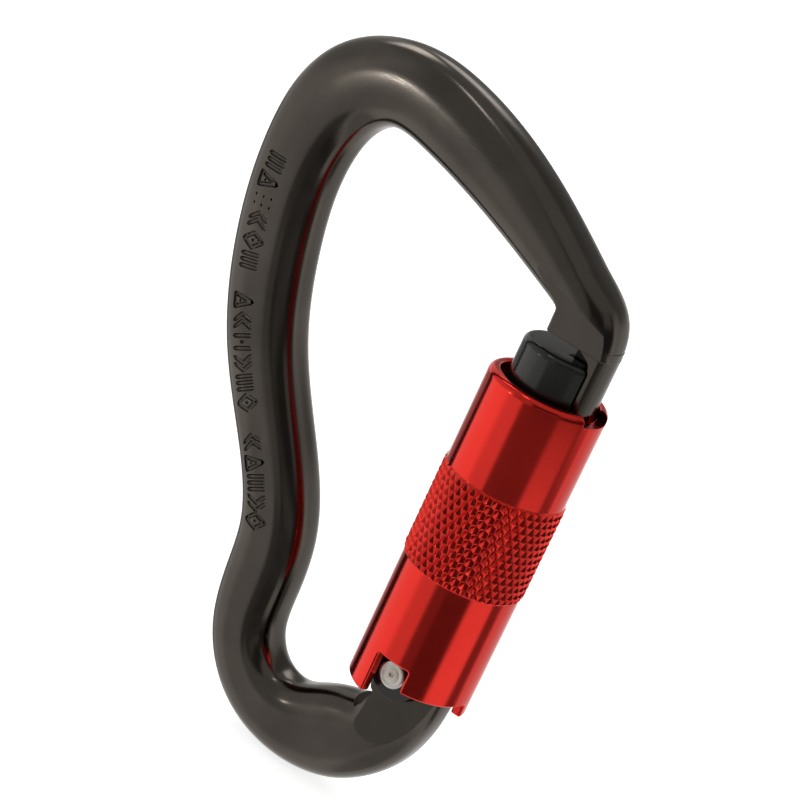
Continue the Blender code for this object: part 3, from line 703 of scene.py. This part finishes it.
# ---------------------------------------------------------------- materials
class Nodes:
    """A material's node tree, with short calls for the nodes used here."""

    def __init__(self, name):
        self.made = bpy.data.materials.new(name)
        self.made.use_nodes = True
        self.tree = self.made.node_tree
        self.shader = self.tree.nodes["Principled BSDF"]
        self.spot = self.add("ShaderNodeTexCoord").outputs["Object"]

    def add(self, kind, **settings):
        node = self.tree.nodes.new(kind)
        for key, value in settings.items():
            setattr(node, key, value)
        return node

    def link(self, source, target):
        self.tree.links.new(source, target)

    def noise(self, per_mm, detail=3.0, stretch=(1, 1, 1), roughness=0.5):
        """Noise with this many features to the millimetre."""
        scale = self.add("ShaderNodeMapping")
        scale.inputs["Scale"].default_value = tuple(s * per_mm * 1000 for s in stretch)
        self.link(self.spot, scale.inputs["Vector"])
        node = self.add("ShaderNodeTexNoise")
        node.inputs["Scale"].default_value = 1.0
        node.inputs["Detail"].default_value = detail
        node.inputs["Roughness"].default_value = roughness
        self.link(scale.outputs["Vector"], node.inputs["Vector"])
        return node.outputs["Fac"]

    def ramp(self, source, low, high, to_low, to_high):
        node = self.add("ShaderNodeMapRange", interpolation_type="SMOOTHSTEP")
        for key, value in zip(("From Min", "From Max", "To Min", "To Max"), (low, high, to_low, to_high)):
            node.inputs[key].default_value = value
        self.link(source, node.inputs["Value"])
        return node.outputs["Result"]

    def math(self, operation, a, b):
        node = self.add("ShaderNodeMath", operation=operation)
        for slot, value in zip(node.inputs, (a, b)):
            if isinstance(value, (int, float)):
                slot.default_value = value
            else:
                self.link(value, slot)
        return node.outputs[0]

    def mix(self, share, a, b):
        node = self.add("ShaderNodeMix", data_type="RGBA")
        for slot, value in ((node.inputs[0], share), (node.inputs[6], a), (node.inputs[7], b)):
            if isinstance(value, tuple):
                slot.default_value = (*value, 1.0)
            elif isinstance(value, (int, float)):
                slot.default_value = value
            else:
                self.link(value, slot)
        return node.outputs[2]

    def worn_edges(self, radius_mm, low=0.004, high=0.08):
        """1 on sharp convex and concave edges, 0 on smooth faces."""
        rounded = self.add("ShaderNodeBevel", samples=6)
        rounded.inputs["Radius"].default_value = radius_mm * MM
        plain = self.add("ShaderNodeNewGeometry")
        node = self.add("ShaderNodeVectorMath", operation="DOT_PRODUCT")
        self.link(rounded.outputs["Normal"], node.inputs[0])
        self.link(plain.outputs["Normal"], node.inputs[1])
        bend = self.math("SUBTRACT", 1.0, node.outputs["Value"])
        return self.ramp(bend, low, high, 0.0, 1.0), rounded.outputs["Normal"]

    def open_air(self, reach_mm):
        """1 where the surface is open, falling towards 0 deep in grooves and corners."""
        node = self.add("ShaderNodeAmbientOcclusion", samples=8)
        node.inputs["Distance"].default_value = reach_mm * MM
        return node.outputs["AO"]

    def bump(self, height, depth_mm, normal=None):
        node = self.add("ShaderNodeBump")
        node.inputs["Strength"].default_value = 1.0
        node.inputs["Distance"].default_value = depth_mm * MM
        self.link(height, node.inputs["Height"])
        if normal is not None:
            self.link(normal, node.inputs["Normal"])
        return node.outputs["Normal"]

    def finish(self, colour, rough, normal, metallic):
        self.link(colour, self.shader.inputs["Base Color"])
        self.link(rough, self.shader.inputs["Roughness"])
        self.link(normal, self.shader.inputs["Normal"])
        self.shader.inputs["Metallic"].default_value = metallic
        return self.made


ROUND_MM, PEEL_MM, HOLLOW_SHADE = 0.12, 0.0016, 0.35


def anodised(name, colour, edge, rough, metallic, cloud=0.12):
    """Dyed anodising: slight clouding, fine orange peel, hairline rubs, paler edges, and painted shade that
    darkens grooves and corners.
    """
    n = Nodes(name)
    clouds = n.ramp(n.noise(0.09, 4.0), 0.3, 0.7, 0.0, 1.0)
    dark = tuple(c * (1 - cloud) for c in colour)
    light = tuple(min(1.0, c * (1 + cloud)) for c in colour)
    tint = n.mix(clouds, dark, light)
    wear, rounded = n.worn_edges(ROUND_MM)
    rubbed = n.math("MULTIPLY", wear, n.ramp(n.noise(0.8, 5.0), 0.42, 0.68, 0.0, 0.7))
    tint = n.mix(rubbed, tint, edge)
    # painted shade: deep in grooves, knurl valleys and corners the colour falls to HOLLOW_SHADE of itself,
    # standing in for shadow there
    unshaded_share = n.ramp(n.open_air(0.9), 0.35, 0.9, 0.0, 1.0)
    tint = n.mix(unshaded_share, tuple(c * HOLLOW_SHADE for c in colour), tint)
    rubs = n.noise(1.6, 2.0, stretch=(0.25, 1.0, 4.0), roughness=0.7)
    spread = n.math("ADD", n.ramp(rubs, 0.35, 0.75, rough * 0.85, rough * 1.25),
                    n.ramp(n.noise(0.25, 3.0), 0.3, 0.8, 0.0, rough * 0.25))
    height = n.math("ADD", n.noise(2.2, 2.0), n.math("MULTIPLY", n.noise(9.0, 1.0), 0.25))
    return n.finish(tint, spread, n.bump(height, PEEL_MM, rounded), metallic)


def steel(name, colour, rough, stretch, depth=0.002):
    """Bare steel: drawn or turned lines, small pits and a warmer stain here and there."""
    n = Nodes(name)
    stain = n.ramp(n.noise(0.5, 5.0), 0.45, 0.75, 0.0, 1.0)
    warm = (colour[0] * 0.82, colour[1] * 0.78, colour[2] * 0.7)
    tint = n.mix(stain, colour, warm)
    pits = n.ramp(n.noise(3.2, 4.0, roughness=0.7), 0.62, 0.72, 0.0, 0.5)
    tint = n.mix(pits, tint, tuple(c * 0.45 for c in colour))
    _, rounded = n.worn_edges(0.08)
    lines = n.noise(6.0, 2.0, stretch=stretch, roughness=0.6)
    spread = n.ramp(lines, 0.3, 0.7, rough * 0.8, rough * 1.3)
    height = n.math("SUBTRACT", lines, n.math("MULTIPLY", pits, 1.5))
    return n.finish(tint, spread, n.bump(height, depth, rounded), 1.0)


def moulded(name, colour, rough):
    n = Nodes(name)
    tint = n.mix(n.noise(0.6, 4.0), tuple(c * 0.8 for c in colour), tuple(c * 1.25 for c in colour))
    grain = n.noise(5.0, 3.0)
    spread = n.ramp(grain, 0.3, 0.7, rough * 0.85, rough * 1.15)
    _, rounded = n.worn_edges(0.1)
    return n.finish(tint, spread, n.bump(grain, 0.004, rounded), 0.0)


# ---------------------------------------------------------------- studio
# Brightness of the room by direction, painted one window over the last:
# (azimuth from, to, height from, to, softness), brightness. Azimuth 0 is the front, 90 is +X.
STUDIO = (
    ((-200, 200, 26, 95, 14), 0.42),
    ((-150, -40, 2, 40, 10), 0.62),
    ((-134, -104, -42, -6, 6), 0.3),
    ((-42, -8, -50, -14, 8), 0.66),
    ((-34, 8, -12, 60, 7), 0.38),
    ((6, 116, -12, 42, 6), 0.08),
    ((-9, 112, -19, -10, 4), 0.1),
    ((-8, 62, -36, -17, 6), 0.1),
    ((-6, 14, -36, -12, 4), 0.19),
    ((14, 64, -4, 12, 7), 0.25),
    ((62, 104, 24, 46, 7), 0.36),
    ((62, 104, -60, -23, 4), 0.85),
    ((106, 131, -34, -16, 5), 0.2),
    ((131, 200, -30, 30, 8), 0.68),
    ((146, 200, 14, 75, 8), 0.24),
    ((-200, -172, 14, 75, 5), 0.24),
    ((-8, 90, -200, -42, 7), 0.6),
    ((-130, -94, 42, 60, 6), 5.0),
    ((-174, -138, 4, 28, 5), 0.24),
    ((-168, -146, 32, 50, 4), 2.6),
)


def studio():
    """A pale room with a dark side to the right and two bright windows high at the back left."""
    scene = bpy.context.scene
    scene.view_settings.view_transform = "Standard"
    world = bpy.data.worlds.new("studio")
    scene.world = world
    world.use_nodes = True
    tree = world.node_tree
    shade = tree.nodes["Background"]

    def put(operation, a, b=0.0):
        node = tree.nodes.new("ShaderNodeMath")
        node.operation = operation
        for slot, value in zip(node.inputs, (a, b)):
            if isinstance(value, (int, float)):
                slot.default_value = value
            else:
                tree.links.new(value, slot)
        return node.outputs[0]

    def step(source, middle, soft):
        node = tree.nodes.new("ShaderNodeMapRange")
        node.interpolation_type = "SMOOTHSTEP"
        node.inputs["From Min"].default_value = middle - soft
        node.inputs["From Max"].default_value = middle + soft
        tree.links.new(source, node.inputs["Value"])
        return node.outputs["Result"]

    apart = tree.nodes.new("ShaderNodeSeparateXYZ")
    tree.links.new(tree.nodes.new("ShaderNodeTexCoord").outputs["Generated"], apart.inputs[0])
    x, y, z = apart.outputs
    azimuth = put("MULTIPLY", put("ARCTAN2", x, put("MULTIPLY", y, -1.0)), math.degrees(1))
    height = put("MULTIPLY", put("ARCSINE", z), math.degrees(1))
    light = 1.0
    for (left, right, low, high, soft), value in STUDIO:
        across = put("MULTIPLY", step(azimuth, left, soft), put("SUBTRACT", 1.0, step(azimuth, right, soft)))
        upward = put("MULTIPLY", step(height, low, soft), put("SUBTRACT", 1.0, step(height, high, soft)))
        share = put("MULTIPLY", across, upward)
        light = put("ADD", light, put("MULTIPLY", share, put("SUBTRACT", value, light)))
    tree.links.new(light, shade.inputs["Strength"])
    shade.inputs["Color"].default_value = (1.0, 0.985, 0.965, 1.0)


def soft_light(name, aim, azimuth, height, away, wide, tall, power):
    """A small soft panel that gives one highlight: it stands this way and this far from the aim (mm)."""
    a, h = math.radians(azimuth), math.radians(height)
    way = Vector((math.sin(a) * math.cos(h), -math.cos(a) * math.cos(h), math.sin(h)))
    data = bpy.data.lights.new(name, "AREA")
    data.shape = "RECTANGLE"
    data.size, data.size_y = wide * MM, tall * MM
    data.energy = power
    made = bpy.data.objects.new(name, data)
    made.location = HINGE + Vector(aim) * MM + way * away * MM
    made.rotation_euler = way.to_track_quat("Z", "Y").to_euler()
    made.visible_diffuse = False
    made.visible_camera = False
    bpy.context.scene.collection.objects.link(made)


def floor():
    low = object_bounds()[0].z
    data = bpy.data.meshes.new("floor")
    reach = 3.0
    corners = [(-reach, -reach, low), (reach, -reach, low), (reach, reach, low), (-reach, reach, low)]
    data.from_pydata(corners, [], [(0, 1, 2, 3)])
    made = bpy.data.objects.new("floor", data)
    bpy.context.scene.collection.objects.link(made)
    n = Nodes("floor_paper")
    grain = n.noise(0.02, 3.0)
    tint = n.mix(grain, (0.93, 0.93, 0.93), (0.95, 0.95, 0.95))
    n.link(tint, n.shader.inputs["Base Color"])
    n.shader.inputs["Roughness"].default_value = 0.9
    n.shader.inputs["Specular IOR Level"].default_value = 0.0
    n.link(tint, n.shader.inputs["Emission Color"])
    n.shader.inputs["Emission Strength"].default_value = 0.85
    data.materials.append(n.made)
    made.visible_glossy = False
    made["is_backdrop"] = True


# ---------------------------------------------------------------- all of it
def place(made, body, node, look, sharp_deg=24.0):
    smooth(made, sharp_deg)
    made.data.materials.clear()
    made.data.materials.append(look)
    made.location = HINGE
    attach(made, body)
    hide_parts(node)


def main():
    set_camera()
    gunmetal = anodised("gunmetal_anodised_fine", (0.092, 0.081, 0.07), (0.2, 0.18, 0.16), 0.165, 1.0)
    black = anodised("black_anodised_fine", (0.010, 0.010, 0.009), (0.05, 0.048, 0.045), 0.16, 0.0)
    red = anodised("red_anodised_fine", (0.83, 0.04, 0.03), (0.9, 0.16, 0.12), 0.13, 1.0, cloud=0.04)
    satin = steel("stainless_fine", (0.66, 0.63, 0.58), 0.38, (1, 0.3, 1))
    wire = steel("spring_wire_fine", (0.5, 0.49, 0.47), 0.25, (1, 1, 0.3))
    nylon = moulded("acetal_fine", (0.03, 0.03, 0.03), 0.5)

    forged = build_frame()
    engrave(forged)
    place(forged, "frame", "frame", gunmetal)
    place(build_rivet(), "frame", "hinge_rivet", satin)
    place(build_gate(), "gate", "gate_arm", black)
    place(build_pin(), "gate", "guide_pin", satin)
    closing = coil("coil_closing", COIL_R, COIL_WIRE, COIL_FROM, COIL_TO, COIL_TURNS)
    place(closing, "gate", "closing_spring", wire, 60)
    returning = coil("coil_return", TWIST_R, TWIST_WIRE, TWIST_FROM, TWIST_TO, TWIST_TURNS)
    place(returning, "gate", "return_spring", wire, 60)
    place(build_sleeve(), "sleeve", "locking_sleeve", red)
    place(build_bush(), "sleeve", "guide_bush", nylon)
    place(build_snap_ring(), "sleeve", "snap_ring", wire, 60)
    place(build_plunger(), "plunger", "closing_plunger", satin)
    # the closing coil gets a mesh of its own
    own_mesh(closing)
    studio()
    soft_light("bow_glint", (-36, -4.9, 72), -31, -7, 250, 7, 12, 0.015)
    soft_light("rim_glint", (0, -8, 47), -40, 68, 260, 50, 16, 0.015)
    floor()


main()
